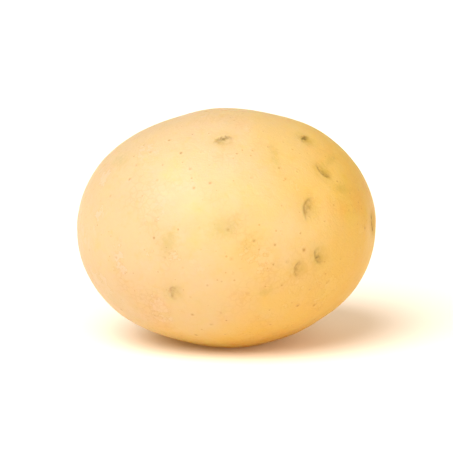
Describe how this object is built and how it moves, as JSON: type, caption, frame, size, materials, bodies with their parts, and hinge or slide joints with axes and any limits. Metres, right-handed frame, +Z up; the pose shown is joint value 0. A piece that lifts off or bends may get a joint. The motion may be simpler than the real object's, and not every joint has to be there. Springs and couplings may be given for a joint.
{
  "type": "potato",
  "caption": "Small smooth-skinned new potato, whole, with shallow eyes that crowd towards its rose end; it lies on its side on a small flat spot.",
  "frame": {"origin": "on the floor, under the middle of the potato's box", "axes": "+X along the potato towards its rose end, where the eyes crowd, -X towards the stem end; +Z up from the flat spot that it rests on; -Y is the front"},
  "size_m": [0.055, 0.048, 0.0436],
  "materials": {
    "skin": "satin, thin pale yellow potato skin, slightly translucent, with fine lenticels and brown eyes"
  },
  "bodies": {
    "root": {"potato": "skin"}
  },
  "joints": []
}
